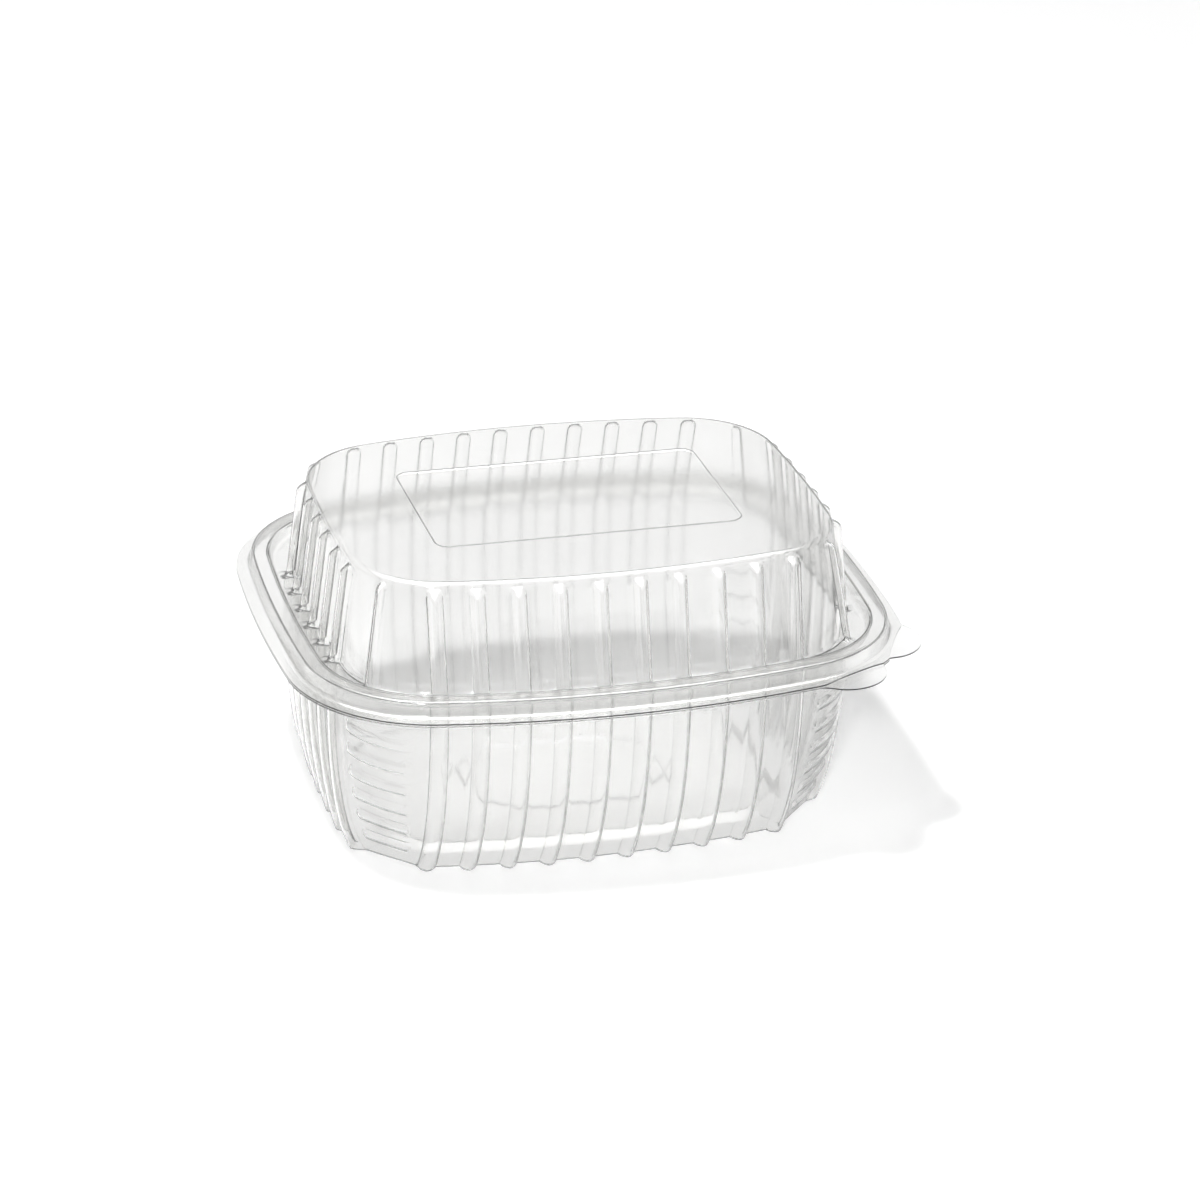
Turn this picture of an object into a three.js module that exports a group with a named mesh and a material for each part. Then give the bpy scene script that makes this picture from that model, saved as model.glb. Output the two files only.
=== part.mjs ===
// Takeaway tub with a domed lid, both thermoformed from one sheet of clear plastic that folds
// at a hinge along the back. Millimetres, +Z up, X along the long sides, +Y towards the hinge.
// The origin is the middle of the whole outline, on the surface that the tub stands on.
import * as THREE from "three";

// The sheet, and the room between lid and tub where they nest
const SHEET = 0.4;
const RIM_CLEARANCE = 0.3;

// The rim from above: reach of the flange edge from the middle, its corners and its bowed sides
const RIM_HALF_LENGTH = 91.3;
const RIM_HALF_DEPTH = 78.5;
const RIM_CORNER = 41.6;
const LONG_SIDE_BOW = 300;
const SHORT_SIDE_BOW = 480;

// The rim in section, on top of the lid: flat flange, raised bead, ledge, foot of the wall
const FLANGE_HEIGHT = 60.4;
const FLANGE_WIDTH = 3.7;
const BEAD_WIDTH = 6.9;
const BEAD_HEIGHT = 4.5;
const BEAD_LEAN = 0.9;
const BEAD_ROUND = 1.2;
const LEDGE_HEIGHT = 0.8;
const LEDGE_WIDTH = 5.7;

// The tub below the rim: how far its base draws in, and how its wall curves towards it
const BASE_DRAW_LENGTH = 5.6;
const BASE_DRAW_DEPTH = 12.6;
const WALL_CURVE = 3.2;
const STANDING_WIDTH = 8;
const FLOOR_RISE = 1.8;
const FLOOR_SLOPE = 3;
const FLOOR_PANEL_LENGTH = 60;
const FLOOR_PANEL_DEPTH = 41;
const FLOOR_PANEL_CORNER = 12;
const FLOOR_PANEL_STEP = 0.8;

// The lid above the rim
const LID_RISE = 31;
const LID_DRAW_LENGTH = 3.4;
const LID_DRAW_DEPTH = 8;
const LID_EDGE = 1.6;
const LABEL_LENGTH = 90.2;
const LABEL_DEPTH = 52.8;
const LABEL_CORNER = 4;
const LABEL_STEP = 0.5;

// Upright ribs, in mirrored pairs along each side, and one on each corner of the lid. Each side has
// as many as leave the corner room between the last rib and the end of the base.
const RIB_PITCH = 11.5;
const CORNER_ROOM = 15;
const RIB_WIDTH = 4.6;
const RIB_CREST = 2.6;
const TUB_RIB_PROUD = 2.8;
const LID_RIB_PROUD = 2.6;
const RIB_END = 1.5;

// Level ridges across each corner of the tub
const RIDGE_COUNT = 6;
const RIDGE_PITCH = 7.4;
const RIDGE_FIRST = 7.5;
const RIDGE_WIDTH = 3.8;
const RIDGE_PROUD = 1.2;
const CORNER_COLUMNS = 7;

// Finger tabs on the front right corner, as lobes on the flange edge beside each other
const TAB_REACH = 5.8;
const TAB_HALF_ANGLE = 15;
const TAB_FULLNESS = 0.75;
const LID_TAB_ANGLE = 28;
const TUB_TAB_ANGLE = 64.5;
const TAB_RELIEF = 2.2;

// The hinge: a lip on the back of each flange, which ends at the fold
const HINGE_LIP = 2.2;
const HINGE_HALF_LENGTH = 36;

// Worked out from the sizes above
const NEST = SHEET + RIM_CLEARANCE;
const RIM_WIDTH = FLANGE_WIDTH + BEAD_WIDTH + LEDGE_WIDTH;
const WALL_CORNER = RIM_CORNER - RIM_WIDTH;
const WALL_LENGTH = RIM_HALF_LENGTH - RIM_WIDTH;
const WALL_DEPTH = RIM_HALF_DEPTH - RIM_WIDTH;
const BASE_LENGTH = WALL_LENGTH - BASE_DRAW_LENGTH;
const BASE_DEPTH = WALL_DEPTH - BASE_DRAW_DEPTH;
const LONG_RIB_PAIRS = ribPairs(BASE_LENGTH);
const SHORT_RIB_PAIRS = ribPairs(BASE_DEPTH);
const LONG_EDGE = ribMiddle(LONG_RIB_PAIRS - 1) + RIB_WIDTH / 2;
const SHORT_EDGE = ribMiddle(SHORT_RIB_PAIRS - 1) + RIB_WIDTH / 2;
const FOLD = RIM_HALF_DEPTH + HINGE_LIP;

// Lines moved inwards from a corner of 135 degrees meet this share of the move further along
const FACET_SHIFT = Math.tan(Math.PI / 8);

// How finely the flat and gently curved parts are divided, for each quarter of the rim
const SHORT_STEPS = 3;
const CORNER_STEPS = 7;
const LONG_STEPS = 4;
const TAB_STEPS = 28;
const FLOOR_CORNER_STEPS = 3;
const LID_TOP_CORNER_STEPS = 5;
const LABEL_CORNER_STEPS = 3;
const WALL_ROWS = [0, 0.05, 0.14, 0.3, 0.55, 1];

// Places run from 0 to 3 on a quarter of an outline, and round all four quarters on a whole ring
const QUARTER = 3;
const WHOLE_RING = 4 * QUARTER;
const SAME_PLACE = 1e-6;

// How evenly a point is held where nearly all faces are level with it, and its longest mitre
const EVEN_HOLD = 0.002;
const MITRE_LIMIT = 1.8;

// How many ribs stand on each half of a side, and how far one is from the side's middle.
function ribPairs(halfBase) {
  return Math.floor((halfBase - CORNER_ROOM - RIB_WIDTH / 2) / RIB_PITCH + 0.5);
}
function ribMiddle(index) {
  return (index + 0.5) * RIB_PITCH;
}

// Where a ray from inside a circle meets it.
function meetCircle(from, direction, centre, radius) {
  const back = from.clone().sub(centre);
  const along = back.dot(direction);
  const distance = Math.sqrt(along * along - back.lengthSq() + radius * radius) - along;
  return from.clone().addScaledVector(direction, distance);
}

// A level outline: four bowed sides and four round corners, by its quarter in +X +Y. It gives the
// point and the outward direction at a place on the quarter, where 0 to 1 runs up the short side,
// 1 to 2 round the corner and 2 to 3 back along the long side. facet flattens the corner, and spread
// moves both ends of the corner that far along the sides.
function quarterOutline(halfLength, halfDepth, corner, facet = 0, spread = 0) {
  const shortEdge = SHORT_EDGE - spread;
  const longEdge = LONG_EDGE - spread;
  const longCentre = new THREE.Vector2(0, halfDepth - LONG_SIDE_BOW);
  const shortCentre = new THREE.Vector2(halfLength - SHORT_SIDE_BOW, 0);
  const fromLong = LONG_SIDE_BOW - corner;
  const fromShort = SHORT_SIDE_BOW - corner;
  const between = longCentre.clone().sub(shortCentre);
  const apart = between.length();
  const along = (apart * apart + fromShort * fromShort - fromLong * fromLong) / (2 * apart);
  const aside = Math.sqrt(fromShort * fromShort - along * along);
  const unit = between.clone().divideScalar(apart);
  const cornerCentre = shortCentre
    .clone()
    .addScaledVector(unit, along)
    .add(new THREE.Vector2(-unit.y, unit.x).multiplyScalar(aside));
  const longMeets = cornerCentre.clone().sub(longCentre).angle();
  const shortMeets = cornerCentre.clone().sub(shortCentre).angle();

  // The point on the outline in one direction from the corner's centre.
  function fromCorner(angle) {
    const direction = new THREE.Vector2(Math.cos(angle), Math.sin(angle));
    if (angle > longMeets) {
      return meetCircle(cornerCentre, direction, longCentre, LONG_SIDE_BOW);
    }
    if (angle < shortMeets) {
      return meetCircle(cornerCentre, direction, shortCentre, SHORT_SIDE_BOW);
    }
    return cornerCentre.clone().addScaledVector(direction, corner);
  }
  const up = new THREE.Vector2(0, 1);
  const right = new THREE.Vector2(1, 0);
  function atX(x) {
    const onSide = meetCircle(new THREE.Vector2(x, 0), up, longCentre, LONG_SIDE_BOW);
    if (onSide.clone().sub(longCentre).angle() >= longMeets) return onSide;
    return meetCircle(new THREE.Vector2(x, cornerCentre.y), up, cornerCentre, corner);
  }
  function atY(y) {
    const onSide = meetCircle(new THREE.Vector2(0, y), right, shortCentre, SHORT_SIDE_BOW);
    if (onSide.clone().sub(shortCentre).angle() <= shortMeets) return onSide;
    return meetCircle(new THREE.Vector2(cornerCentre.x, y), right, cornerCentre, corner);
  }
  const start = atY(shortEdge);
  const end = atX(longEdge);
  const startAngle = start.clone().sub(cornerCentre).angle();
  const lowAngle = startAngle > Math.PI ? startAngle - 2 * Math.PI : startAngle;
  const highAngle = end.clone().sub(cornerCentre).angle();

  function outwards(point) {
    if (point.clone().sub(longCentre).angle() >= longMeets && point.x < cornerCentre.x + corner) {
      return point.clone().sub(longCentre).normalize();
    }
    if (point.y <= cornerCentre.y || point.clone().sub(shortCentre).angle() <= shortMeets) {
      return point.clone().sub(shortCentre).normalize();
    }
    return point.clone().sub(cornerCentre).normalize();
  }
  function at(place) {
    if (place <= 1) {
      const point = atY(place * shortEdge);
      return { point, normal: outwards(point) };
    }
    if (place >= 2) {
      const point = atX((QUARTER - place) * longEdge);
      return { point, normal: outwards(point) };
    }
    const angle = THREE.MathUtils.lerp(lowAngle, highAngle, place - 1);
    const round = fromCorner(angle);
    const flat = start.clone().lerp(end, place - 1);
    const across = new THREE.Vector2(end.y - start.y, start.x - end.x).normalize();
    const normal = outwards(round).lerp(across, facet).normalize();
    return { point: round.lerp(flat, facet), normal, angle };
  }
  return { at };
}

// Repeats a quarter's columns round the whole outline, anticlockwise from +X. A column has a place
// on its quarter, and turn is its place on the whole ring, which rises all the way round.
function allRound(quarter) {
  const columns = [];
  [[1, 1], [-1, 1], [-1, -1], [1, -1]].forEach(([signX, signY], index) => {
    const mirrored = signX * signY < 0;
    const list = mirrored ? [...quarter].reverse() : quarter;
    for (const column of list) {
      const turn = QUARTER * index + (mirrored ? QUARTER - column.place : column.place);
      const last = columns[columns.length - 1];
      if (last && turn - last.turn < SAME_PLACE) continue;
      if (turn > WHOLE_RING - SAME_PLACE) continue;
      columns.push({ ...column, signX, signY, turn });
    }
  });
  return columns;
}

// A column's point at one height of an outline, moved outwards by proud.
function place3(outline, column, height, proud) {
  const { point, normal } = outline.at(column.place);
  const moved = point.addScaledVector(normal, proud);
  return new THREE.Vector3(moved.x * column.signX, moved.y * column.signY, height);
}

// Plain columns, for the rings that have no ribs.
function plainQuarter(shortSteps, cornerSteps, longSteps) {
  const quarter = [];
  for (let i = 0; i < shortSteps; i++) quarter.push({ place: i / shortSteps });
  for (let i = 0; i < cornerSteps; i++) quarter.push({ place: 1 + i / cornerSteps });
  for (let i = 0; i <= longSteps; i++) quarter.push({ place: 2 + i / longSteps });
  return quarter;
}

// The wall's columns: four for each rib, and between the last ribs the corner's own.
function ribbedQuarter(cornerColumns) {
  const across = [
    { offset: -RIB_WIDTH / 2, rib: 0 },
    { offset: -RIB_CREST / 2, rib: 1 },
    { offset: RIB_CREST / 2, rib: 1 },
    { offset: RIB_WIDTH / 2, rib: 0 },
  ];
  const quarter = [];
  for (let i = 0; i < SHORT_RIB_PAIRS; i++) {
    for (const { offset, rib } of across) {
      quarter.push({ place: (ribMiddle(i) + offset) / SHORT_EDGE, rib });
    }
  }
  quarter.push(...cornerColumns);
  for (let i = LONG_RIB_PAIRS - 1; i >= 0; i--) {
    for (const { offset, rib } of across) {
      quarter.push({ place: QUARTER - (ribMiddle(i) - offset) / LONG_EDGE, rib });
    }
  }
  return quarter;
}

// An open sheet of triangles, built outwards from the middle, with its upper side up.
class Sheet {
  constructor() {
    this.points = [];
    this.triangles = [];
  }
  add(point) {
    this.points.push(point);
    return this.points.length - 1;
  }
  // A closed ring of points, each with its turn round the part.
  ring(columns, pointOf) {
    return columns.map((column) => ({ key: column.turn, id: this.add(pointOf(column)) }));
  }
  // Fills between two lists whose keys both rise: inner lies nearer the middle than outer.
  fill(inner, outer) {
    let i = 0;
    let j = 0;
    while (i < inner.length - 1 || j < outer.length - 1) {
      const innerNext = i < inner.length - 1 ? inner[i + 1].key : Infinity;
      const outerNext = j < outer.length - 1 ? outer[j + 1].key : Infinity;
      if (outerNext <= innerNext) {
        this.triangles.push([inner[i].id, outer[j].id, outer[j + 1].id]);
        j++;
      } else {
        this.triangles.push([inner[i].id, outer[j].id, inner[i + 1].id]);
        i++;
      }
    }
  }
  // Fills between two closed rings.
  fillRings(inner, outer) {
    const close = (ring) => [...ring, { key: ring[0].key + WHOLE_RING, id: ring[0].id }];
    this.fill(close(inner), close(outer));
  }
  // Closes the middle with one point.
  cap(ring, point) {
    const middle = this.add(point);
    ring.forEach((entry, i) => {
      this.triangles.push([middle, entry.id, ring[(i + 1) % ring.length].id]);
    });
  }
  // Gives the sheet its thickness on the under side. Each point moves by the one vector that lies
  // a whole thickness from every plane that meets there, and the open edge gets a cut face.
  thicken(thickness, edge) {
    const count = this.points.length;
    const planes = this.points.map(() => ({
      matrix: new THREE.Matrix3().multiplyScalar(0),
      sum: new THREE.Vector3(),
    }));
    for (const triangle of this.triangles) {
      const corners = triangle.map((id) => this.points[id]);
      const normal = new THREE.Triangle(...corners).getNormal(new THREE.Vector3());
      triangle.forEach((id, k) => {
        const one = corners[(k + 1) % 3].clone().sub(corners[k]);
        const other = corners[(k + 2) % 3].clone().sub(corners[k]);
        const weight = one.angleTo(other);
        const { x, y, z } = normal;
        const products = [x * x, x * y, x * z, x * y, y * y, y * z, x * z, y * z, z * z];
        products.forEach((value, at) => {
          planes[id].matrix.elements[at] += weight * value;
        });
        planes[id].sum.addScaledVector(normal, weight);
      });
    }
    const under = this.points.map((point, id) => {
      const { matrix, sum } = planes[id];
      const mean = sum.clone().normalize();
      const hold = EVEN_HOLD * sum.length();
      [0, 4, 8].forEach((at) => {
        matrix.elements[at] += hold;
      });
      const step = sum.addScaledVector(mean, hold).applyMatrix3(matrix.invert());
      return point.clone().addScaledVector(step.clampLength(1, MITRE_LIMIT), -thickness);
    });
    const all = [...this.points, ...under];
    const faces = [...this.triangles];
    for (const [a, b, c] of this.triangles) faces.push([a + count, c + count, b + count]);
    edge.forEach(({ id }, i) => {
      const next = edge[(i + 1) % edge.length].id;
      faces.push([id, id + count, next + count]);
      faces.push([id, next + count, next]);
    });
    return geometryOf(all, faces);
  }
}

function geometryOf(points, faces) {
  const geometry = new THREE.BufferGeometry();
  const numbers = points.flatMap((point) => point.toArray());
  geometry.setAttribute("position", new THREE.Float32BufferAttribute(numbers, 3));
  geometry.setIndex(faces.flat());
  geometry.computeVertexNormals();
  return geometry;
}

// The rim's section on top of the lid, from the ledge outwards to the flange edge, as the distance
// in from the flange edge and the height over the flange.
const beadInside = FLANGE_WIDTH + BEAD_WIDTH;
const RIM_SECTION = [
  new THREE.Vector2(RIM_WIDTH, LEDGE_HEIGHT),
  new THREE.Vector2(beadInside, LEDGE_HEIGHT),
  new THREE.Vector2(beadInside - BEAD_LEAN, BEAD_HEIGHT - BEAD_ROUND),
  new THREE.Vector2(beadInside - BEAD_LEAN - BEAD_ROUND, BEAD_HEIGHT),
  new THREE.Vector2(FLANGE_WIDTH + BEAD_LEAN + BEAD_ROUND, BEAD_HEIGHT),
  new THREE.Vector2(FLANGE_WIDTH + BEAD_LEAN, BEAD_HEIGHT - BEAD_ROUND),
  new THREE.Vector2(FLANGE_WIDTH, 0),
  new THREE.Vector2(0, 0),
];

// The same section for a sheet that lies drop below it, measured square to the sheet.
function nestedSection(drop) {
  return RIM_SECTION.map((point, i) => {
    const before = RIM_SECTION[Math.max(i - 1, 0)];
    const after = RIM_SECTION[Math.min(i + 1, RIM_SECTION.length - 1)];
    const into = i > 0 ? point.clone().sub(before).normalize() : after.clone().sub(point).normalize();
    const out = i < RIM_SECTION.length - 1 ? after.clone().sub(point).normalize() : into;
    const middle = into.clone().add(out).normalize();
    const square = new THREE.Vector2(-middle.y, middle.x);
    return point.clone().addScaledVector(square, drop / middle.dot(into));
  });
}

// How far a finger tab stands out from the flange edge, at an angle round the corner.
function lobe(angle, tabAngle) {
  const off = (THREE.MathUtils.radToDeg(angle) - tabAngle) / TAB_HALF_ANGLE;
  return Math.abs(off) < 1 ? Math.pow(1 - off * off, TAB_FULLNESS) : 0;
}

// The flange edge: the outline with its own tab, a relief under the other tab, and the hinge lip.
function flangeEdge(sheet, height, tabAngle, otherAngle) {
  const outline = quarterOutline(RIM_HALF_LENGTH, RIM_HALF_DEPTH, RIM_CORNER);
  const lipPlace = QUARTER - HINGE_HALF_LENGTH / LONG_EDGE;
  const lipBend = QUARTER - (HINGE_HALF_LENGTH + HINGE_LIP) / LONG_EDGE;
  const plain = plainQuarter(SHORT_STEPS, CORNER_STEPS, LONG_STEPS);
  const back = [...plain, { place: lipPlace }, { place: lipBend }];
  const fine = plainQuarter(SHORT_STEPS, TAB_STEPS, LONG_STEPS);
  const byPlace = (a, b) => a.place - b.place;
  const columns = allRound(back.sort(byPlace)).filter((c) => c.signY > 0);
  columns.push(...allRound(plain).filter((c) => c.signY < 0 && c.signX < 0));
  columns.push(...allRound(fine).filter((c) => c.signY < 0 && c.signX > 0));
  return sheet.ring(columns, (column) => {
    const point = place3(outline, column, height, 0);
    const { angle, normal } = outline.at(column.place);
    if (column.signX > 0 && column.signY < 0 && angle !== undefined) {
      const reach = TAB_REACH * lobe(angle, tabAngle) - TAB_RELIEF * lobe(angle, otherAngle);
      point.x += normal.x * reach;
      point.y -= normal.y * reach;
    }
    if (column.signY > 0 && column.place >= lipPlace) point.y = FOLD;
    return point;
  });
}

// Adds the rim to a sheet, from the wall's last ring outwards. Returns the flange edge.
function addRim(sheet, wallRing, section, tabAngle, otherAngle) {
  const columns = allRound(plainQuarter(SHORT_STEPS, CORNER_STEPS, LONG_STEPS));
  let inner = wallRing;
  for (const { x: inset, y: height } of section.slice(1, -1)) {
    const outline = quarterOutline(RIM_HALF_LENGTH - inset, RIM_HALF_DEPTH - inset, RIM_CORNER - inset);
    const ring = sheet.ring(columns, (c) => place3(outline, c, FLANGE_HEIGHT + height, 0));
    sheet.fillRings(inner, ring);
    inner = ring;
  }
  const edgeHeight = FLANGE_HEIGHT + section[section.length - 1].y;
  const edge = flangeEdge(sheet, edgeHeight, tabAngle, otherAngle);
  sheet.fillRings(inner, edge);
  return edge;
}

// A level panel with rounded or cut corners, as the same kind of ring.
function panelRing(sheet, columns, halfLength, halfDepth, corner, height) {
  return sheet.ring(columns, (column) => {
    const { place, signX, signY } = column;
    const onShort = Math.min(place, 1);
    const onLong = Math.min(QUARTER - place, 1);
    const angle = THREE.MathUtils.clamp(place - 1, 0, 1) * (Math.PI / 2);
    const x = (halfLength - corner) * onLong + corner * Math.cos(angle);
    const y = (halfDepth - corner) * onShort + corner * Math.sin(angle);
    return new THREE.Vector3(x * signX, y * signY, height);
  });
}

// The upper side of the tub: floor, standing ring, ribbed wall with ridged corners, and rim.
function buildTub() {
  const sheet = new Sheet();
  const section = nestedSection(NEST);
  const wallTop = FLANGE_HEIGHT + section[0].y;
  const floor = SHEET;
  const wallHeight = wallTop - floor;

  // The wall draws in towards the base along a curve, and its corners flatten on the way down.
  function outlineAt(height) {
    const down = Math.max(wallTop - height, 0) / wallHeight;
    const draw = Math.pow(down, WALL_CURVE);
    const length = WALL_LENGTH - BASE_DRAW_LENGTH * draw;
    const depth = WALL_DEPTH - BASE_DRAW_DEPTH * draw;
    return quarterOutline(length, depth, WALL_CORNER, down * down);
  }
  const plainHeights = WALL_ROWS.map((row) => floor + row * wallHeight);
  const ridgeHeights = [{ height: floor, ridge: 0 }];
  for (let i = 0; i < RIDGE_COUNT; i++) {
    const middle = RIDGE_FIRST + i * RIDGE_PITCH;
    ridgeHeights.push({ height: middle - RIDGE_WIDTH / 2, ridge: 0 });
    ridgeHeights.push({ height: middle, ridge: 1 });
    ridgeHeights.push({ height: middle + RIDGE_WIDTH / 2, ridge: 0 });
  }
  ridgeHeights.push({ height: wallTop, ridge: 0 });

  const cornerColumns = [];
  for (let i = 1; i <= CORNER_COLUMNS; i++) {
    cornerColumns.push({ place: 1 + i / (CORNER_COLUMNS + 1), ridged: true, rib: 0 });
  }
  const columns = allRound(ribbedQuarter(cornerColumns));
  const walls = columns.map((column) => {
    const rows = column.ridged ? ridgeHeights : plainHeights.map((height) => ({ height, ridge: 0 }));
    const proud = (row) => column.rib * TUB_RIB_PROUD + row.ridge * RIDGE_PROUD;
    return rows.map((row) => ({
      key: row.height,
      id: sheet.add(place3(outlineAt(row.height), column, row.height, proud(row))),
    }));
  });
  walls.forEach((wall, i) => sheet.fill(walls[(i + 1) % walls.length], wall));
  const baseRing = walls.map((wall, i) => ({ key: columns[i].turn, id: wall[0].id }));
  const topRing = walls.map((wall, i) => ({ key: columns[i].turn, id: wall[wall.length - 1].id }));
  const edge = addRim(sheet, topRing, section, TUB_TAB_ANGLE, LID_TAB_ANGLE);

  const plain = allRound(plainQuarter(SHORT_STEPS, FLOOR_CORNER_STEPS, LONG_STEPS));
  const cut = allRound(plainQuarter(1, 1, 1));
  function floorRing(inset, height) {
    const size = [BASE_LENGTH - inset, BASE_DEPTH - inset, WALL_CORNER - inset];
    const outline = quarterOutline(...size, 1, inset * FACET_SHIFT);
    return sheet.ring(plain, (column) => place3(outline, column, height, 0));
  }
  const standing = floorRing(STANDING_WIDTH, floor);
  const raised = floorRing(STANDING_WIDTH + FLOOR_SLOPE, floor + FLOOR_RISE);
  const panel = [FLOOR_PANEL_LENGTH / 2, FLOOR_PANEL_DEPTH / 2, FLOOR_PANEL_CORNER];
  const panelEdge = panelRing(sheet, cut, ...panel, floor + FLOOR_RISE);
  const stepped = panel.map((size) => size - FLOOR_PANEL_STEP);
  const panelTop = panelRing(sheet, cut, ...stepped, floor + FLOOR_RISE - FLOOR_PANEL_STEP);
  sheet.fillRings(standing, baseRing);
  sheet.fillRings(raised, standing);
  sheet.fillRings(panelEdge, raised);
  sheet.fillRings(panelTop, panelEdge);
  sheet.cap(panelTop, new THREE.Vector3(0, 0, floor + FLOOR_RISE - FLOOR_PANEL_STEP));
  return sheet.thicken(SHEET, edge);
}

// The upper side of the lid: stepped label panel, flat top, ribbed wall and rim.
function buildLid() {
  const sheet = new Sheet();
  const foot = FLANGE_HEIGHT + LEDGE_HEIGHT;
  const top = FLANGE_HEIGHT + LID_RISE;
  const wallTop = top - LID_EDGE;
  function outlineAt(height) {
    const up = (height - foot) / (wallTop - foot);
    const length = WALL_LENGTH - LID_DRAW_LENGTH * up;
    return quarterOutline(length, WALL_DEPTH - LID_DRAW_DEPTH * up, WALL_CORNER);
  }
  const cornerMiddle = QUARTER / 2;
  const besideRib = 0.25;
  const cornerHalf = RIB_WIDTH / (WALL_CORNER * Math.PI);
  const crestHalf = RIB_CREST / (WALL_CORNER * Math.PI);
  const cornerColumns = [
    { place: cornerMiddle - besideRib, rib: 0 },
    { place: cornerMiddle - cornerHalf, rib: 0 },
    { place: cornerMiddle - crestHalf, rib: 1 },
    { place: cornerMiddle + crestHalf, rib: 1 },
    { place: cornerMiddle + cornerHalf, rib: 0 },
    { place: cornerMiddle + besideRib, rib: 0 },
  ];
  const columns = allRound(ribbedQuarter(cornerColumns));
  const rows = [
    { height: wallTop, proud: 0 },
    { height: wallTop - RIB_END, proud: LID_RIB_PROUD },
    { height: foot, proud: LID_RIB_PROUD },
  ];
  const rings = rows.map(({ height, proud }) => {
    const outline = outlineAt(height);
    return sheet.ring(columns, (c) => place3(outline, c, height, c.rib * proud));
  });
  sheet.fillRings(rings[0], rings[1]);
  sheet.fillRings(rings[1], rings[2]);
  const edge = addRim(sheet, rings[2], RIM_SECTION, LID_TAB_ANGLE, TUB_TAB_ANGLE);

  const plain = allRound(plainQuarter(SHORT_STEPS, LID_TOP_CORNER_STEPS, LONG_STEPS));
  const topLength = WALL_LENGTH - LID_DRAW_LENGTH - LID_EDGE;
  const topDepth = WALL_DEPTH - LID_DRAW_DEPTH - LID_EDGE;
  const topOutline = quarterOutline(topLength, topDepth, WALL_CORNER);
  const topRing = sheet.ring(plain, (column) => place3(topOutline, column, top, 0));
  const label = [LABEL_LENGTH / 2, LABEL_DEPTH / 2, LABEL_CORNER];
  const rounded = allRound(plainQuarter(1, LABEL_CORNER_STEPS, 1));
  const labelEdge = panelRing(sheet, rounded, ...label, top);
  const stepped = label.map((size) => size - LABEL_STEP);
  const labelInside = panelRing(sheet, rounded, ...stepped, top - LABEL_STEP);
  sheet.fillRings(topRing, rings[0]);
  sheet.fillRings(labelEdge, topRing);
  sheet.fillRings(labelInside, labelEdge);
  sheet.cap(labelInside, new THREE.Vector3(0, 0, top - LABEL_STEP));
  return sheet.thicken(SHEET, edge);
}

function clearPlastic() {
  return new THREE.MeshStandardMaterial({
    color: 0xe3e8ea,
    roughness: 0.08,
    metalness: 0,
    transparent: true,
    opacity: 0.4,
  });
}

const container = new THREE.Group();
const tub = new THREE.Mesh(buildTub(), clearPlastic());
tub.name = "tub";
container.add(tub);
const lid = new THREE.Mesh(buildLid(), clearPlastic());
lid.name = "lid";
container.add(lid);

// The tabs and the hinge lips put the middle of the outline a little beside the middle of the rim.
const middle = new THREE.Box3().setFromObject(container).getCenter(new THREE.Vector3());
container.position.set(-middle.x, -middle.y, 0);

export default container;
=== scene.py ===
"""A clear takeaway tub with a domed lid, formed from one sheet that folds along the back.
Metres, +Z up, X along the long sides, +Y towards the hinge."""

import bpy
import numpy as np
from mathutils import Matrix, Vector


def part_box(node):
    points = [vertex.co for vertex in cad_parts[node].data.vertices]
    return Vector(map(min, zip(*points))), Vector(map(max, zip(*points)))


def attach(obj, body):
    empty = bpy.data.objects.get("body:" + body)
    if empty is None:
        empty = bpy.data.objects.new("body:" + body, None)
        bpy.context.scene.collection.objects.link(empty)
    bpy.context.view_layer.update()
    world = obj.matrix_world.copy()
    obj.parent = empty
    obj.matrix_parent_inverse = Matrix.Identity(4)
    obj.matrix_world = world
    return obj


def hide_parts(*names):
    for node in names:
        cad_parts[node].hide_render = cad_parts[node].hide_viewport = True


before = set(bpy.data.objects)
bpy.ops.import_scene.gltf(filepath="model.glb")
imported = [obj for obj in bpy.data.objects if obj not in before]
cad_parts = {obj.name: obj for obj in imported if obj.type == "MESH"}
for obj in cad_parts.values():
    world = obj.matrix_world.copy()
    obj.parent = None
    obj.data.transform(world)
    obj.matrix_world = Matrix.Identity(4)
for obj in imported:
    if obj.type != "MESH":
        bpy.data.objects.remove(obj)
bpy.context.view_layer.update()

# Tub
# The lower half is drawn deep over a mould, from the same sheet of clear plastic as the lid, with ribs
# along its sides and level ridges across its corners. Its rim is a flat flange, a raised bead that
# snaps into the lid's, and a ledge that runs in to the foot of the wall. The lid's rim repeats it.
HALF_LENGTH = 0.0913
HALF_DEPTH = 0.0785
CORNER = 0.0416
LONG_SIDE_BOW = 0.300
SHORT_SIDE_BOW = 0.480
SHEET = 0.0004
NEST = 0.0007
FLANGE_HEIGHT = 0.0604
FLANGE_WIDTH = 0.0037
BEAD_WIDTH = 0.0069
BEAD_HEIGHT = 0.0045
BEAD_LEAN = 0.0009
BEAD_ROUND = 0.0010
LEDGE_WIDTH = 0.0057
LEDGE_HEIGHT = 0.0008
RIM_WIDTH = FLANGE_WIDTH + BEAD_WIDTH + LEDGE_WIDTH
RIB_PITCH = 0.0115
RIB_WIDTH = 0.0046
LONG_RIB_PAIRS = 5
SHORT_RIB_PAIRS = 3
LONG_EDGE = (LONG_RIB_PAIRS - 0.5) * RIB_PITCH + RIB_WIDTH / 2
SHORT_EDGE = (SHORT_RIB_PAIRS - 0.5) * RIB_PITCH + RIB_WIDTH / 2
RIB_COLUMNS = 11
CORNER_COLUMNS = 47

lid_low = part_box("lid")[0]
RIM_MIDDLE = np.array([lid_low[0] + HALF_LENGTH, lid_low[1] + HALF_DEPTH, 0.0])


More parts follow.
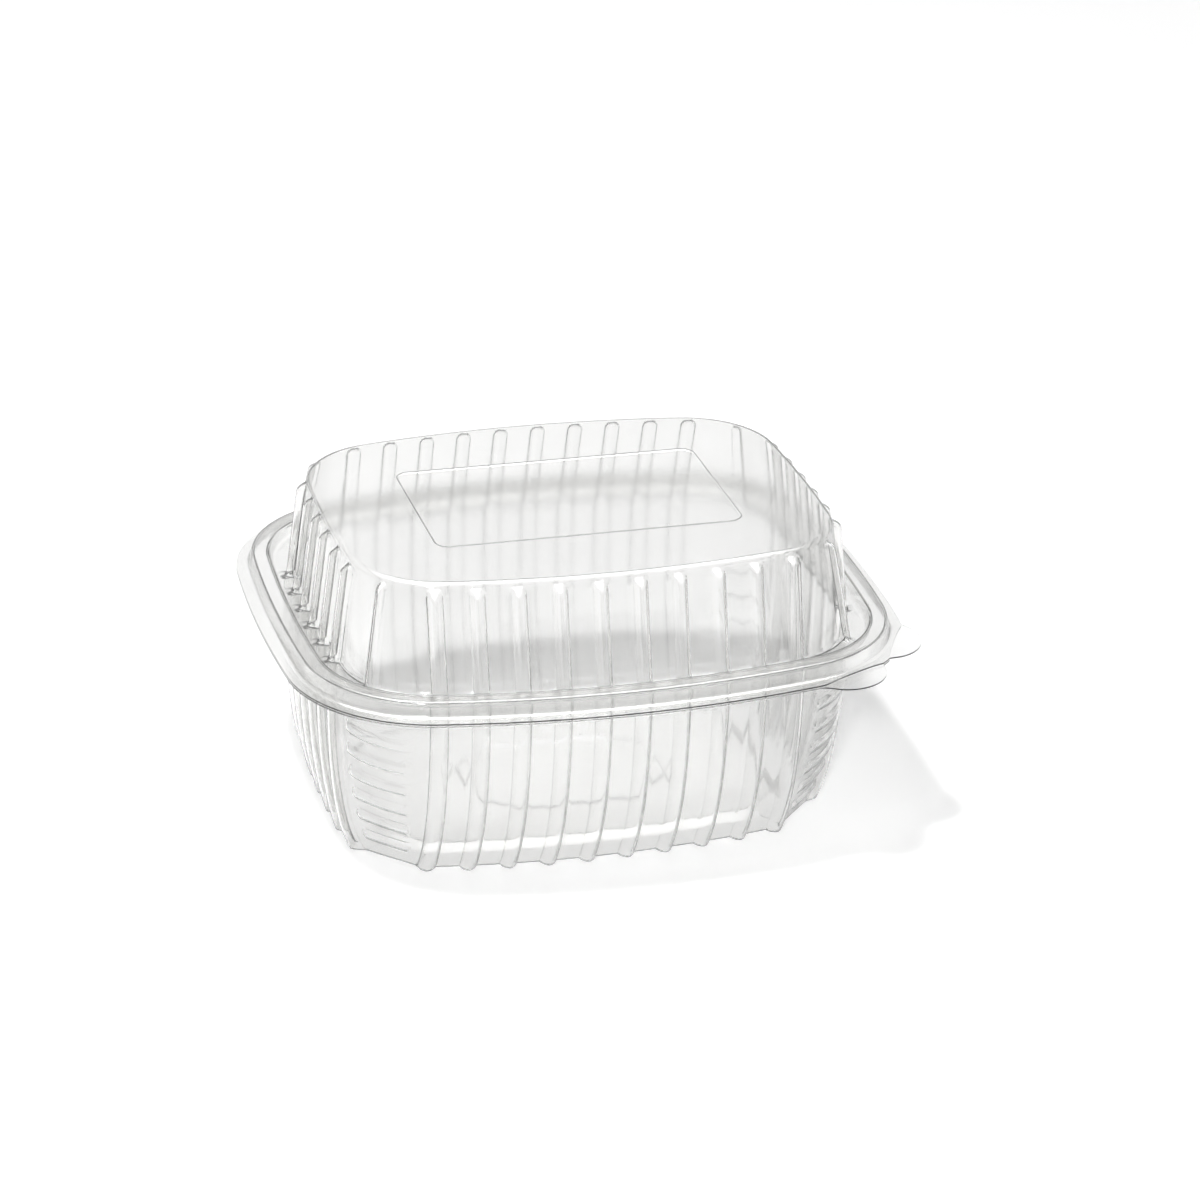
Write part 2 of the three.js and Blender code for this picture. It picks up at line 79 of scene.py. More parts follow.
def side_places(pairs):
    """Places 0 to 1 from the middle of a side to the outer edge of its last rib. The columns across
    a rib stand at the sines of even angles, so that they close up at the rib's edges."""
    across = 0.5 + 0.5 * np.sin(np.linspace(-np.pi / 2, np.pi / 2, RIB_COLUMNS))
    flank = (RIB_PITCH - RIB_WIDTH) / 2
    cell = np.concatenate([[0, flank / 2], flank + RIB_WIDTH * across, [RIB_PITCH - flank / 2]])
    lengths = (cell + RIB_PITCH * np.arange(pairs)[:, None]).ravel()[:-1]
    return lengths / lengths[-1]


def whole_ring():
    """Columns anticlockwise from +X: the place on a quarter (0 to 1 up the short side, 1 to 2 round
    the corner, 2 to 3 back along the long side) with the signs of X and Y of each quarter."""
    up_short = side_places(SHORT_RIB_PAIRS)
    round_corner = 1 + np.linspace(0, 1, CORNER_COLUMNS + 2)[1:-1]
    back_long = 3 - side_places(LONG_RIB_PAIRS)[::-1]
    quarter = np.concatenate([up_short, round_corner, back_long])
    place = np.concatenate([quarter[:-1], quarter[:0:-1], quarter[:-1], quarter[:0:-1]])
    count = len(quarter) - 1
    sign_x = np.repeat([1, -1, -1, 1], count)
    sign_y = np.repeat([1, 1, -1, -1], count)
    return place, sign_x, sign_y


PLACE, SIGN_X, SIGN_Y = whole_ring()


def meet_circle(from_x, from_y, to_x, to_y, centre_x, centre_y, radius):
    """Where the ray from a point inside a circle meets it: with b the point less the centre and
    d the direction, the distance is -b.d + sqrt((b.d)^2 - b.b + r^2)."""
    back_x = from_x - centre_x
    back_y = from_y - centre_y
    along = back_x * to_x + back_y * to_y
    distance = np.sqrt(along**2 - back_x**2 - back_y**2 + radius**2) - along
    return from_x + distance * to_x, from_y + distance * to_y


def outward(x, y):
    """The direction square to an outline at each point, from the points on either side of it."""
    ahead_x = np.roll(x, -1, axis=1) - np.roll(x, 1, axis=1)
    ahead_y = np.roll(y, -1, axis=1) - np.roll(y, 1, axis=1)
    length = np.hypot(ahead_x, ahead_y)
    return ahead_y / length, -ahead_x / length


def bowed_outline(half_length, half_depth, corner, facet=0.0, proud=0.0, spread=0.0):
    """Level outlines, one row for each size given. Both sides are arcs about centres far behind the
    middle, and the corner is the circle that touches both from inside. facet from 0 to 1 moves the
    corner from its arc to the straight line between the last ribs. spread moves the ends of that line
    towards the middles of the sides. proud moves a point outwards."""
    sizes = np.broadcast_arrays(half_length, half_depth, corner, facet)
    half_length, half_depth, corner, facet = (np.reshape(size, (-1, 1)) for size in sizes)
    long_y = half_depth - LONG_SIDE_BOW
    short_x = half_length - SHORT_SIDE_BOW
    to_long = LONG_SIDE_BOW - corner
    to_short = SHORT_SIDE_BOW - corner
    apart = np.hypot(short_x, long_y)
    along = (apart**2 + to_short**2 - to_long**2) / (2 * apart)
    aside = np.sqrt(to_short**2 - along**2)
    centre_x = short_x - short_x / apart * along - long_y / apart * aside
    centre_y = long_y / apart * along - short_x / apart * aside
    turn_short = np.arctan2(centre_y, centre_x - short_x)
    turn_long = np.arctan2(centre_y - long_y, centre_x)

    def from_centre(angle):
        to_x = np.cos(angle)
        to_y = np.sin(angle)
        long_at = meet_circle(centre_x, centre_y, to_x, to_y, 0, long_y, LONG_SIDE_BOW)
        short_at = meet_circle(centre_x, centre_y, to_x, to_y, short_x, 0, SHORT_SIDE_BOW)
        x = np.where(angle > turn_long, long_at[0], centre_x + corner * to_x)
        y = np.where(angle > turn_long, long_at[1], centre_y + corner * to_y)
        x = np.where(angle < turn_short, short_at[0], x)
        y = np.where(angle < turn_short, short_at[1], y)
        return x, y

    def on_short(level):
        side_x = short_x + np.sqrt(SHORT_SIDE_BOW**2 - level**2)
        round_x = centre_x + np.sqrt(np.maximum(corner**2 - (level - centre_y)**2, 0))
        return np.where(level <= centre_y + corner * np.sin(turn_short), side_x, round_x)

    def on_long(level):
        side_y = long_y + np.sqrt(LONG_SIDE_BOW**2 - level**2)
        round_y = centre_y + np.sqrt(np.maximum(corner**2 - (level - centre_x)**2, 0))
        return np.where(level <= centre_x + corner * np.cos(turn_long), side_y, round_y)

    start_y = SHORT_EDGE - spread
    start_x = on_short(start_y)
    end_x = LONG_EDGE - spread
    end_y = on_long(end_x)
    low = np.arctan2(start_y - centre_y, start_x - centre_x)
    high = np.arctan2(end_y - centre_y, end_x - centre_x)
    round_place = np.clip(PLACE - 1, 0, 1)
    angle = low + (high - low) * round_place
    corner_x, corner_y = from_centre(angle)
    corner_x = corner_x + facet * (start_x + (end_x - start_x) * round_place - corner_x)
    corner_y = corner_y + facet * (start_y + (end_y - start_y) * round_place - corner_y)
    short_level = np.clip(PLACE, 0, 1) * start_y
    long_level = np.clip(3 - PLACE, 0, 1) * end_x
    x = np.where(PLACE <= 1, on_short(short_level), np.where(PLACE >= 2, long_level, corner_x))
    y = np.where(PLACE <= 1, short_level, np.where(PLACE >= 2, on_long(long_level), corner_y))
    x = x * SIGN_X
    y = y * SIGN_Y
    out_x, out_y = outward(x, y)
    return x + proud * out_x, y + proud * out_y


def rows_at(outline, height):
    """Rows of points from outlines and their heights, as an array of rows, columns and X, Y, Z."""
    x, y = outline
    z = np.broadcast_to(np.reshape(height, (-1, 1)), x.shape)
    return np.stack([x, y, z], axis=-1)


def rounded(points, radius, steps=4):
    """A line with soft corners: each becomes the curve (1 - t)^2 a + 2 t (1 - t) c + t^2 b, where c
    is the corner and a and b lie a radius before and after it, but no further than halfway."""
    line = [points[:1]]
    for before, corner, after in zip(points, points[1:], points[2:]):
        back = before - corner
        ahead = after - corner
        near = corner + back * min(radius / np.linalg.norm(back), 0.5)
        far = corner + ahead * min(radius / np.linalg.norm(ahead), 0.5)
        t = np.linspace(0, 1, steps)[:, None]
        line.append((1 - t)**2 * near + 2 * t * (1 - t) * corner + t**2 * far)
    line.append(points[-1:])
    return np.concatenate(line)


def rim_section(drop):
    """The rim from the foot of the wall to the flange edge: the distance in from the edge, and the
    height over the flange. drop moves it square to itself, for a sheet that lies under another."""
    inner = FLANGE_WIDTH + BEAD_WIDTH
    section = rounded(np.array([
        [RIM_WIDTH, LEDGE_HEIGHT],
        [inner, LEDGE_HEIGHT],
        [inner - BEAD_LEAN, BEAD_HEIGHT],
        [FLANGE_WIDTH + BEAD_LEAN, BEAD_HEIGHT],
        [FLANGE_WIDTH, 0],
        [0, 0],
    ]), BEAD_ROUND)
    run = np.gradient(section, axis=0)
    run /= np.linalg.norm(run, axis=1)[:, None]
    return section + drop * np.stack([-run[:, 1], run[:, 0]], axis=1)


# A finger tab stands out on the front right corner of each flange, side by side, and a lip on the
# back of each flange ends at the fold.
TAB_REACH = 0.0058
TAB_RELIEF = 0.0022
TAB_HALF_ANGLE = 15
LID_TAB_ANGLE = 28
TUB_TAB_ANGLE = 64.5
HINGE_LIP = 0.0022
HINGE_HALF_LENGTH = 0.036


def flange_edge(own_angle, other_angle):
    """How far the flange edge stands out of its outline, by column: the lobe of its own tab, less a
    relief under the other's. A lobe is (1 - t^2)^0.75, with t the angle from its middle."""
    out_x, out_y = outward(*bowed_outline(HALF_LENGTH, HALF_DEPTH, CORNER))
    degrees = np.degrees(np.arctan2(np.abs(out_y[0]), np.abs(out_x[0])))
    front_right = (SIGN_X > 0) & (SIGN_Y < 0) & (PLACE > 1) & (PLACE < 2)

    def lobe(middle):
        t = (degrees - middle) / TAB_HALF_ANGLE
        return np.clip(1 - t**2, 0, None)**0.75
    return np.where(front_right, TAB_REACH * lobe(own_angle) - TAB_RELIEF * lobe(other_angle), 0)


def rim_rows(section, own_angle, other_angle):
    """All rows of the rim, outwards. The flange carries the tab and the lip in full at its edge and
    not at all at the foot of the bead."""
    inset = section[1:, 0]
    x, y = bowed_outline(HALF_LENGTH - inset, HALF_DEPTH - inset, CORNER - inset)
    share = np.clip(1 - inset / FLANGE_WIDTH, 0, 1)[:, None]
    proud = flange_edge(own_angle, other_angle)
    edge_x, edge_y = bowed_outline(HALF_LENGTH, HALF_DEPTH, CORNER, proud=proud)
    lip = np.clip((HINGE_HALF_LENGTH + HINGE_LIP - np.abs(edge_x)) / HINGE_LIP, 0, 1) * (SIGN_Y > 0)
    edge_y = edge_y + lip * (HALF_DEPTH + HINGE_LIP - edge_y)
    whole_x, whole_y = bowed_outline(HALF_LENGTH, HALF_DEPTH, CORNER)
    outline = (x + share * (edge_x - whole_x), y + share * (edge_y - whole_y))
    return rows_at(outline, FLANGE_HEIGHT + section[1:, 1])


def bump(across, beyond, half_width):
    """A raised rib with a round end, from 0 to 1: with r the distance to the rib's middle line,
    which ends where beyond is 0, it is (1 - (r / half width)^2)^0.85."""
    distance = np.hypot(across, np.maximum(beyond, 0))
    return np.clip(1 - (distance / half_width)**2, 0, None)**0.85


# Each column's distance from the middle of the nearest rib, which is far off on the corners
FAR = 1.0
ON_CORNER = (PLACE > 1) & (PLACE < 2)
SIDE_LEVEL = np.where(PLACE <= 1, PLACE * SHORT_EDGE, (3 - PLACE) * LONG_EDGE)
FROM_RIB = np.where(ON_CORNER, FAR, (SIDE_LEVEL % RIB_PITCH) - RIB_PITCH / 2)
CREASE_ANGLE = np.radians(25)
SHORTEST_MEAN = 0.3


def face_vectors(grid):
    """For each face between two rows and two columns, half the cross product of its diagonals: it is
    square to the face and as long as the face is large."""
    near = grid[:-1]
    far = grid[1:]
    return np.cross(np.roll(far, -1, axis=1) - near, np.roll(near, -1, axis=1) - far) / 2


def unit(vectors):
    """Each vector divided by its own length."""
    return vectors / np.linalg.norm(vectors, axis=-1, keepdims=True)


def at_points(faces):
    """Each point's sum of the vectors of the four faces that meet there."""
    around = faces + np.roll(faces, 1, axis=1)
    total = np.zeros((faces.shape[0] + 1,) + faces.shape[1:])
    total[:-1] += around
    total[1:] += around
    return total


def corner_normals(grid):
    """The normal at each corner of each face: the mean of the faces that meet there, by their size,
    or the face's own where that mean leans away by more than the crease angle."""
    faces = face_vectors(grid)
    points = unit(at_points(faces))
    own = unit(faces)[:, :, None]
    beside = np.roll(points, -1, axis=1)
    corners = np.stack([points[:-1], points[1:], beside[1:], beside[:-1]], axis=2)
    close = np.sum(corners * own, axis=-1, keepdims=True) > np.cos(CREASE_ANGLE)
    return np.where(close, corners, own)


def formed_sheet(name, middle, rows):
    """A closed shell of one sheet. The upper side is the rows from a middle point outwards. The under
    side is the same moved down by the sheet's thickness t: with m the mean of the unit normals of the
    faces that meet at a point, it moves there by t m / |m|^2, and never below the table. The cut edge
    joins the two."""
    count = rows.shape[1]
    upper_grid = np.concatenate([np.broadcast_to(middle, (1, count, 3)), rows]) + RIM_MIDDLE
    units = unit(face_vectors(upper_grid))
    shares = np.full((len(units) + 1, 1, 1), 4.0)
    shares[[0, -1]] = 2.0
    mean = at_points(units) / shares
    step = mean / np.maximum(np.sum(mean**2, axis=-1, keepdims=True), SHORTEST_MEAN)
    step[0] = np.array([0, 0, 1])
    under_grid = upper_grid - SHEET * step
    under_grid[..., 2] = np.maximum(under_grid[..., 2], 0)

    ids = 1 + np.arange(rows.shape[0] * count).reshape(rows.shape[:2])
    beside = np.roll(ids, -1, axis=1)
    upper = np.stack([ids[:-1], ids[1:], beside[1:], beside[:-1]], axis=-1).reshape(-1, 4)
    total = 1 + ids.size
    edge = np.stack([ids[-1], ids[-1] + total, beside[-1] + total, beside[-1]], axis=-1)
    quads = np.concatenate([upper, upper[:, ::-1] + total, edge])
    caps = np.stack([np.zeros(count, int), ids[0], beside[0]], axis=-1)
    fans = np.concatenate([caps, caps[:, ::-1] + total])
    upper_points = np.concatenate([upper_grid[0, :1], upper_grid[1:].reshape(-1, 3)])
    under_points = np.concatenate([under_grid[0, :1], under_grid[1:].reshape(-1, 3)])

    upper_normals = corner_normals(upper_grid)[1:].reshape(-1, 3)
    under_normals = -corner_normals(under_grid)[1:, :, ::-1].reshape(-1, 3)
    rim = np.stack([upper_grid[-1], under_grid[-1]])
    edge_normals = np.repeat(unit(face_vectors(rim))[0], 4, axis=0)
    fan_normals = np.repeat([[0, 0, 1], [0, 0, -1]], 3 * count, axis=0)
    mesh = bpy.data.meshes.new(name)
    points = np.concatenate([upper_points, under_points])
    mesh.from_pydata(points, [], quads.tolist() + fans.tolist())
    mesh.shade_smooth()
    normals = np.concatenate([upper_normals, under_normals, edge_normals, fan_normals])
    mesh.normals_split_custom_set(normals)
    piece = bpy.data.objects.new(name, mesh)
    bpy.context.scene.collection.objects.link(piece)
    return piece


# The plastic is colourless and glossy, with the faint waves and the slight haze that forming leaves.
# It takes up a little light, which shows where one looks along the sheet.
def clear_sheet():
    material = bpy.data.materials.new("clear_sheet")
    material.use_nodes = True
    nodes = material.node_tree.nodes
    links = material.node_tree.links
    plastic = nodes["Principled BSDF"]
    plastic.inputs["Base Color"].default_value = (0.99, 0.99, 0.985, 1)
    plastic.inputs["Roughness"].default_value = 0.08
    plastic.inputs["IOR"].default_value = 1.57
    plastic.inputs["Transmission Weight"].default_value = 1.0
    place = nodes.new("ShaderNodeTexCoord")
    waves = nodes.new("ShaderNodeTexNoise")
    waves.inputs["Scale"].default_value = 70
    waves.inputs["Detail"].default_value = 1
    links.new(place.outputs["Object"], waves.inputs["Vector"])
    relief = nodes.new("ShaderNodeBump")
    relief.inputs["Strength"].default_value = 0.08
    relief.inputs["Distance"].default_value = 0.0006
    links.new(waves.outputs["Fac"], relief.inputs["Height"])
    links.new(relief.outputs["Normal"], plastic.inputs["Normal"])
    haze = nodes.new("ShaderNodeVolumeAbsorption")
    haze.inputs["Color"].default_value = (0.5, 0.5, 0.5, 1)
    haze.inputs["Density"].default_value = 190
    output = nodes["Material Output"]
    links.new(haze.outputs["Volume"], output.inputs["Volume"])
    return material


CLEAR_SHEET = clear_sheet()

# Ribs stiffen the tub's wall, each corner flattens towards the base, and the floor is raised inside
# a standing ring. The panel in it is given by half its length, half its depth and its cut corners.
BASE_DRAW_LENGTH = 0.0056
BASE_DRAW_DEPTH = 0.0126
WALL_CURVE = 3.2
WALL_CORNER = CORNER - RIM_WIDTH
TUB_RIB_PROUD = 0.0028
STANDING_WIDTH = 0.008
FLOOR_RISE = 0.0018
FLOOR_SLOPE = 0.003
FLOOR_PANEL = (0.030, 0.0205, 0.012)
FLOOR_PANEL_STEP = 0.0008
RIDGE_COUNT = 6
RIDGE_PITCH = 0.0074
RIDGE_FIRST = 0.0075
RIDGE_HALF_WIDTH = 0.0019
RIDGE_PROUD = 0.0010
RIDGE_HALF_SPAN = 0.012
CORNER_RUN = 0.042
BASE_BEND = 0.0008
CREASE = 0.0003

tub_section = rim_section(NEST)
tub_top = FLANGE_HEIGHT + tub_section[0, 1]
foot_heights = [0.0006, 0.0012, 0.0024]
ridge_middles = RIDGE_FIRST + RIDGE_PITCH * np.arange(RIDGE_COUNT)
across_ridge = RIDGE_HALF_WIDTH * np.array([-1.4, -1, -0.6, 0, 0.6, 1, 1.4])
ridge_heights = (ridge_middles[:, None] + across_ridge).ravel()
upper_heights = [0.0495, 0.0535, 0.0575, 0.0595, tub_top]
tub_heights = np.concatenate([foot_heights, ridge_heights, upper_heights])[:, None]


def tub_wall(height, inset=0.0):
    """The wall at each height. With d the share of the way down, it draws in by d^3.2 of the base's
    draw, and its corners flatten by d^2."""
    down = np.clip((tub_top - height) / (tub_top - SHEET), 0, 1)
    drawn = down**WALL_CURVE
    length = HALF_LENGTH - RIM_WIDTH - BASE_DRAW_LENGTH * drawn - inset
    depth = HALF_DEPTH - RIM_WIDTH - BASE_DRAW_DEPTH * drawn - inset
    ribs = TUB_RIB_PROUD * bump(FROM_RIB, height - tub_top, RIB_WIDTH / 2)
    along = np.where(ON_CORNER, np.abs(PLACE - 1.5) * CORNER_RUN - RIDGE_HALF_SPAN, FAR)
    nearest = np.min(np.abs(height - ridge_middles), axis=1, keepdims=True)
    ridges = RIDGE_PROUD * bump(nearest, along, RIDGE_HALF_WIDTH)
    return bowed_outline(length, depth, WALL_CORNER, down**2, ribs + ridges)


def floor_ring(inset):
    """The base's outline moved inwards. Lines moved in from a corner of 135 degrees meet tan(22.5
    degrees) of the move further along, so the cut corners begin that much nearer to the middles."""
    length = HALF_LENGTH - RIM_WIDTH - BASE_DRAW_LENGTH - inset
    depth = HALF_DEPTH - RIM_WIDTH - BASE_DRAW_DEPTH - inset
    return bowed_outline(length, depth, WALL_CORNER - inset, 1, spread=inset * np.tan(np.pi / 8))


def panel_outline(half_length, half_depth, corner, cut, inset=0.0):
    """A level panel by the same columns, with its corners cut straight or rounded to a quarter circle
    of the corner's size, and drawn in by inset."""
    half_length = half_length - inset
    half_depth = half_depth - inset
    corner = corner - inset
    on_short = np.minimum(PLACE, 1)
    on_long = np.minimum(3 - PLACE, 1)
    turn = np.clip(PLACE - 1, 0, 1)
    reach_x = 1 - turn if cut else np.cos(turn * np.pi / 2)
    reach_y = turn if cut else np.sin(turn * np.pi / 2)
    x = (half_length - corner) * on_long + corner * reach_x
    y = (half_depth - corner) * on_short + corner * reach_y
    return (x * SIGN_X)[None], (y * SIGN_Y)[None]


# Beside each crease stands a second row close by, which keeps the shade of the bend off the flats.
floor_top = SHEET + FLOOR_RISE
panel_top = floor_top - FLOOR_PANEL_STEP
slope_top = STANDING_WIDTH + FLOOR_SLOPE
base_height = np.full((1, 1), SHEET)
tub_rows = [
    rows_at(panel_outline(*FLOOR_PANEL, cut=True, inset=FLOOR_PANEL_STEP + CREASE), panel_top),
    rows_at(panel_outline(*FLOOR_PANEL, cut=True, inset=FLOOR_PANEL_STEP), panel_top),
    rows_at(panel_outline(*FLOOR_PANEL, cut=True), floor_top),
    rows_at(panel_outline(*FLOOR_PANEL, cut=True, inset=-CREASE), floor_top),
    rows_at(floor_ring(slope_top + CREASE), floor_top),
    rows_at(floor_ring(slope_top), floor_top),
    rows_at(floor_ring(STANDING_WIDTH), SHEET),
    rows_at(floor_ring(STANDING_WIDTH - CREASE), SHEET),
    rows_at(tub_wall(base_height, inset=BASE_BEND + CREASE), SHEET),
    rows_at(tub_wall(base_height, inset=BASE_BEND), SHEET),
    rows_at(tub_wall(tub_heights), tub_heights),
    rim_rows(tub_section, TUB_TAB_ANGLE, LID_TAB_ANGLE),
]
tub = formed_sheet("tub_sheet", np.array([0, 0, panel_top]), np.concatenate(tub_rows))
tub.data.materials.append(CLEAR_SHEET)
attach(tub, "tub")
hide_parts("tub")

# Lid
# The upper half is a low dome with the same ribs, each with a round top under the edge, one more rib
# on each corner, and a shallow place for a label on its flat top, given by half its length, half its
# depth and its round corners.
LID_RISE = 0.031
LID_DRAW_LENGTH = 0.0034
LID_DRAW_DEPTH = 0.008
LID_EDGE = 0.0016
LID_RIB_PROUD = 0.0026
LABEL = (0.0451, 0.0264, 0.004)
LABEL_STEP = 0.0005
FOOT_BEND = 0.0004

lid_foot = FLANGE_HEIGHT + LEDGE_HEIGHT
lid_top = FLANGE_HEIGHT + LID_RISE
lid_wall_top = lid_top - LID_EDGE


def lid_wall(height, inset=0.0):
    """The wall at each height: it leans in evenly from the foot to the top edge."""
    up = np.clip((height - lid_foot) / (lid_wall_top - lid_foot), 0, 1)
    length = HALF_LENGTH - RIM_WIDTH - LID_DRAW_LENGTH * up - inset
    depth = HALF_DEPTH - RIM_WIDTH - LID_DRAW_DEPTH * up - inset
    corner_rib = np.where(ON_CORNER, (PLACE - 1.5) * WALL_CORNER * np.pi / 2, FAR)
    nearest = np.where(np.abs(FROM_RIB) < np.abs(corner_rib), FROM_RIB, corner_rib)
    ribs = LID_RIB_PROUD * bump(nearest, height - (lid_wall_top - RIB_WIDTH / 2), RIB_WIDTH / 2)
    return bowed_outline(length, depth, WALL_CORNER, 0, ribs)


edge_angles = np.linspace(np.pi / 2, 0, 6)[:, None]
edge_heights = lid_wall_top + LID_EDGE * np.sin(edge_angles)
edge_insets = LID_EDGE * (1 - np.cos(edge_angles))
rib_end_heights = lid_wall_top - np.linspace(0.1, 1.2, 9) * RIB_WIDTH / 2
wall_heights = np.linspace(lid_wall_top - 0.005, lid_foot + 0.001, 10)
lid_heights = np.concatenate([rib_end_heights, wall_heights, [lid_foot + CREASE]])[:, None]
label_floor = lid_top - LABEL_STEP
lid_rows = [
    rows_at(panel_outline(*LABEL, cut=False, inset=LABEL_STEP + CREASE), label_floor),
    rows_at(panel_outline(*LABEL, cut=False, inset=LABEL_STEP), label_floor),
    rows_at(panel_outline(*LABEL, cut=False), lid_top),
    rows_at(panel_outline(*LABEL, cut=False, inset=-CREASE), lid_top),
    rows_at(lid_wall(edge_heights, inset=edge_insets), edge_heights),
    rows_at(lid_wall(lid_heights), lid_heights),
    rows_at(lid_wall(np.full((1, 1), lid_foot), inset=-FOOT_BEND), lid_foot),
    rim_rows(rim_section(0), LID_TAB_ANGLE, TUB_TAB_ANGLE),
]
lid = formed_sheet("lid_sheet", np.array([0, 0, label_floor]), np.concatenate(lid_rows))
lid.data.materials.append(CLEAR_SHEET)
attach(lid, "lid")
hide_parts("lid")

# Floor
# A wide white table. The camera, also through the sheet, sees it a little brighter than the lamps
# make it, so that it is white apart from the shadow.
FLOOR_REACH = 6.0
floor_mesh = bpy.data.meshes.new("table_floor")
near_corners = [(-FLOOR_REACH, -FLOOR_REACH, 0), (FLOOR_REACH, -FLOOR_REACH, 0)]
far_corners = [(FLOOR_REACH, FLOOR_REACH, 0), (-FLOOR_REACH, FLOOR_REACH, 0)]
floor_mesh.from_pydata(near_corners + far_corners, [], [(0, 1, 2, 3)])
floor = bpy.data.objects.new("table_floor", floor_mesh)
bpy.context.scene.collection.objects.link(floor)
table = bpy.data.materials.new("white_table")
table.use_nodes = True
nodes = table.node_tree.nodes
links = table.node_tree.links
matt = nodes["Principled BSDF"]
matt.inputs["Base Color"].default_value = (0.8, 0.8, 0.8, 1)
matt.inputs["Roughness"].default_value = 0.9
glow = nodes.new("ShaderNodeEmission")
glow.inputs["Strength"].default_value = 0.40
nothing = nodes.new("ShaderNodeEmission")
nothing.inputs["Strength"].default_value = 0
seen = nodes.new("ShaderNodeLightPath")
direct = nodes.new("ShaderNodeMath")
direct.operation = "MAXIMUM"
links.new(seen.outputs["Is Camera Ray"], direct.inputs[0])
links.new(seen.outputs["Is Transmission Ray"], direct.inputs[1])
choose = nodes.new("ShaderNodeMixShader")
links.new(direct.outputs[0], choose.inputs["Fac"])
links.new(nothing.outputs[0], choose.inputs[1])
links.new(glow.outputs[0], choose.inputs[2])
both = nodes.new("ShaderNodeAddShader")
links.new(matt.outputs[0], both.inputs[0])
links.new(choose.outputs[0], both.inputs[1])
links.new(both.outputs[0], nodes["Material Output"].inputs["Surface"])
floor_mesh.materials.append(table)

# World
# Even pale light from all round, and plain white where the camera sees it. What the sheet mirrors
# or bends climbs from nearly black at the horizon to white, with a bright panel overhead that only
# mirrored light shows: its image draws the white lines along bead, edges and rib tops.
world = bpy.data.worlds.new("studio")
bpy.context.scene.world = world
world.use_nodes = True
nodes = world.node_tree.nodes
links = world.node_tree.links
pale = nodes["Background"]
pale.inputs["Color"].default_value = (1, 1, 1, 1)
pale.inputs["Strength"].default_value = 0.25
white = nodes.new("ShaderNodeBackground")
white.inputs["Color"].default_value = (1, 1, 1, 1)
white.inputs["Strength"].default_value = 1
seen = nodes.new("ShaderNodeLightPath")
bent = nodes.new("ShaderNodeMath")
bent.operation = "MAXIMUM"
links.new(seen.outputs["Is Glossy Ray"], bent.inputs[0])
links.new(seen.outputs["Is Transmission Ray"], bent.inputs[1])
choose = nodes.new("ShaderNodeMixShader")
direction = nodes.new("ShaderNodeTexCoord")
axes = nodes.new("ShaderNodeSeparateXYZ")
links.new(direction.outputs["Generated"], axes.inputs[0])
climb = nodes.new("ShaderNodeMapRange")
climb.inputs["From Min"].default_value = 0.12
climb.inputs["From Max"].default_value = 0.32
climb.inputs["To Min"].default_value = 0.05
climb.inputs["To Max"].default_value = 1.0
links.new(axes.outputs["Z"], climb.inputs["Value"])
overhead = nodes.new("ShaderNodeMapRange")
overhead.inputs["From Min"].default_value = 0.75
overhead.inputs["From Max"].default_value = 0.85
overhead.inputs["To Min"].default_value = 0
overhead.inputs["To Max"].default_value = 5
links.new(axes.outputs["Z"], overhead.inputs["Value"])
sky = nodes.new("ShaderNodeMath")
sky.operation = "MULTIPLY_ADD"
links.new(overhead.outputs["Result"], sky.inputs[0])
links.new(seen.outputs["Is Glossy Ray"], sky.inputs[1])
links.new(climb.outputs["Result"], sky.inputs[2])
mirrored = nodes.new("ShaderNodeBackground")
links.new(sky.outputs[0], mirrored.inputs["Strength"])
gloss = nodes.new("ShaderNodeMixShader")
links.new(bent.outputs[0], gloss.inputs["Fac"])
links.new(pale.outputs[0], gloss.inputs[1])
links.new(mirrored.outputs[0], gloss.inputs[2])
links.new(seen.outputs["Is Camera Ray"], choose.inputs["Fac"])
links.new(gloss.outputs[0], choose.inputs[1])
links.new(white.outputs[0], choose.inputs[2])
links.new(choose.outputs[0], nodes["World Output"].inputs["Surface"])


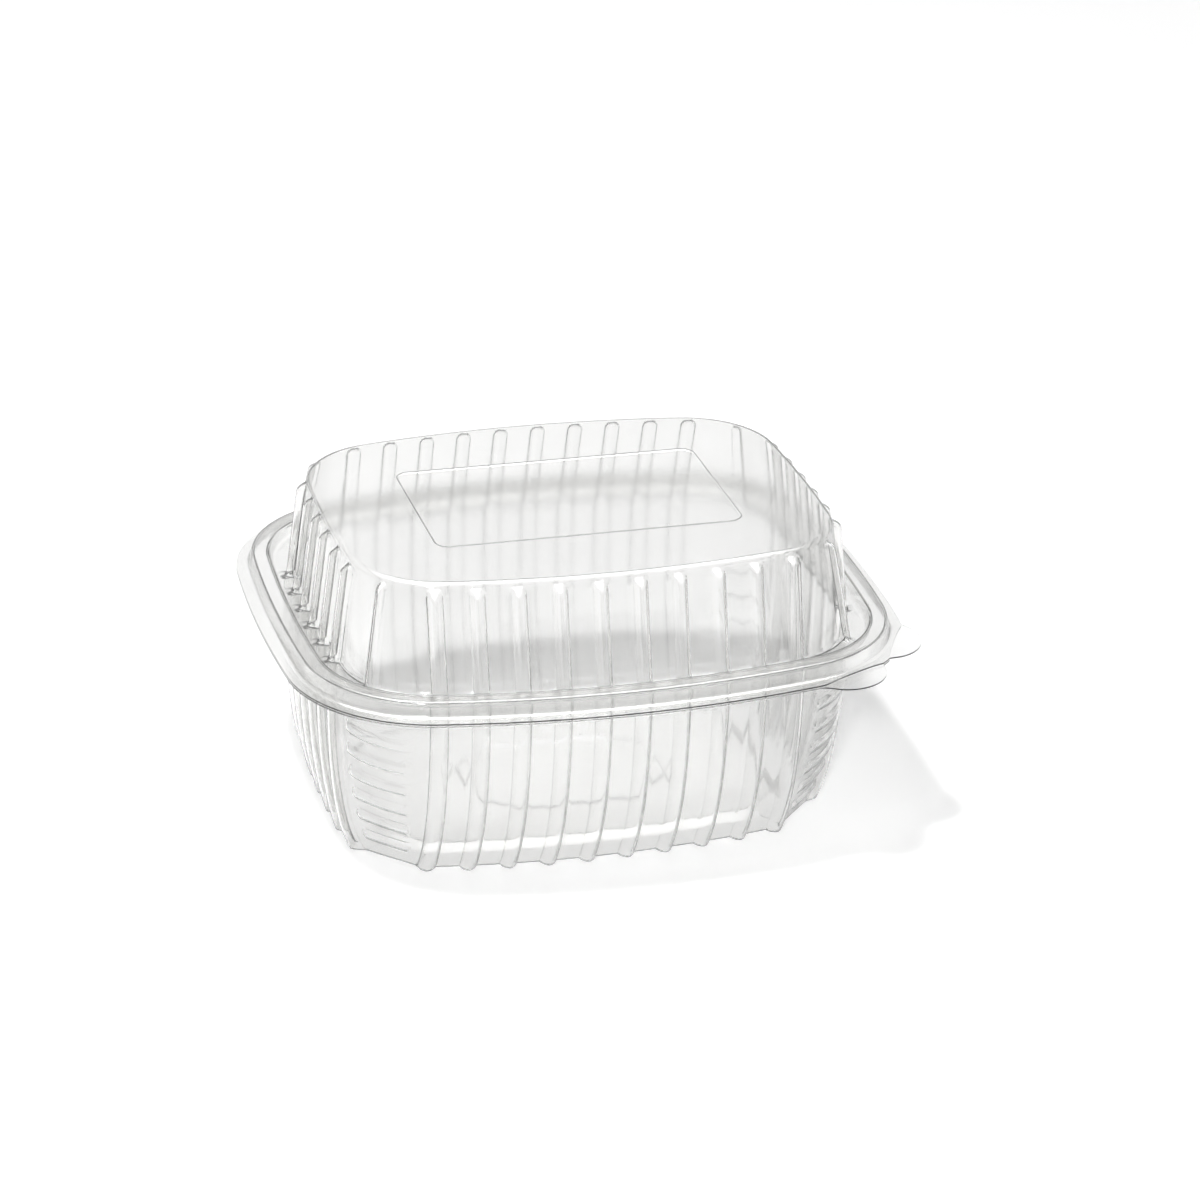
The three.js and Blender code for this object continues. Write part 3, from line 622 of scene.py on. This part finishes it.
# Lamps
# Two soft boxes, one beside the camera and one high on the left. Their shadows fall behind the tub
# and close by it on the right.
def soft_box(name, place, size, power):
    lamp = bpy.data.lights.new(name, "AREA")
    lamp.shape = "RECTANGLE"
    lamp.size, lamp.size_y = size
    lamp.energy = power
    box = bpy.data.objects.new(name, lamp)
    aim = Vector((0, 0, 0.04)) - Vector(place)
    box.matrix_world = Matrix.Translation(place) @ aim.to_track_quat("-Z", "Y").to_matrix().to_4x4()
    bpy.context.scene.collection.objects.link(box)


soft_box("front_soft_box", (-0.74, -1.92, 1.24), (0.25, 0.25), 22)
soft_box("top_soft_box", (-0.62, -0.3, 2.1), (0.2, 0.2), 29)

# Camera
# It looks down at the front from a little to the left, as the photograph does, with the frame moved
# a little up and to the right of the line of sight.
AZIMUTH = np.radians(-16.17)
ELEVATION = np.radians(26.28)
ROLL = np.radians(1.60)
DISTANCE = 1.17185
AIM = Vector((RIM_MIDDLE[0], RIM_MIDDLE[1], 0.03797))
ahead = Vector((-np.sin(AZIMUTH), np.cos(AZIMUTH), 0))
forward = ahead * np.cos(ELEVATION) - Vector((0, 0, np.sin(ELEVATION)))
level = Vector((np.cos(AZIMUTH), np.sin(AZIMUTH), 0))
upward = level.cross(forward)
right = level * np.cos(ROLL) + upward * np.sin(ROLL)
above = upward * np.cos(ROLL) - level * np.sin(ROLL)
lens = bpy.data.cameras.new("photo_camera")
lens.sensor_fit = "HORIZONTAL"
lens.sensor_width = 36
lens.lens = 119.65
lens.shift_x = 0.0308
lens.shift_y = 0.0517
lens.clip_end = 20
camera = bpy.data.objects.new("photo_camera", lens)
turned = Matrix((right, above, -forward)).transposed().to_4x4()
camera.matrix_world = Matrix.Translation(AIM - forward * DISTANCE) @ turned
bpy.context.scene.collection.objects.link(camera)
bpy.context.scene.camera = camera
bpy.context.scene.view_settings.view_transform = "Standard"
bpy.context.scene.cycles.max_bounces = 32
bpy.context.scene.cycles.transmission_bounces = 32
bpy.context.scene.cycles.glossy_bounces = 12
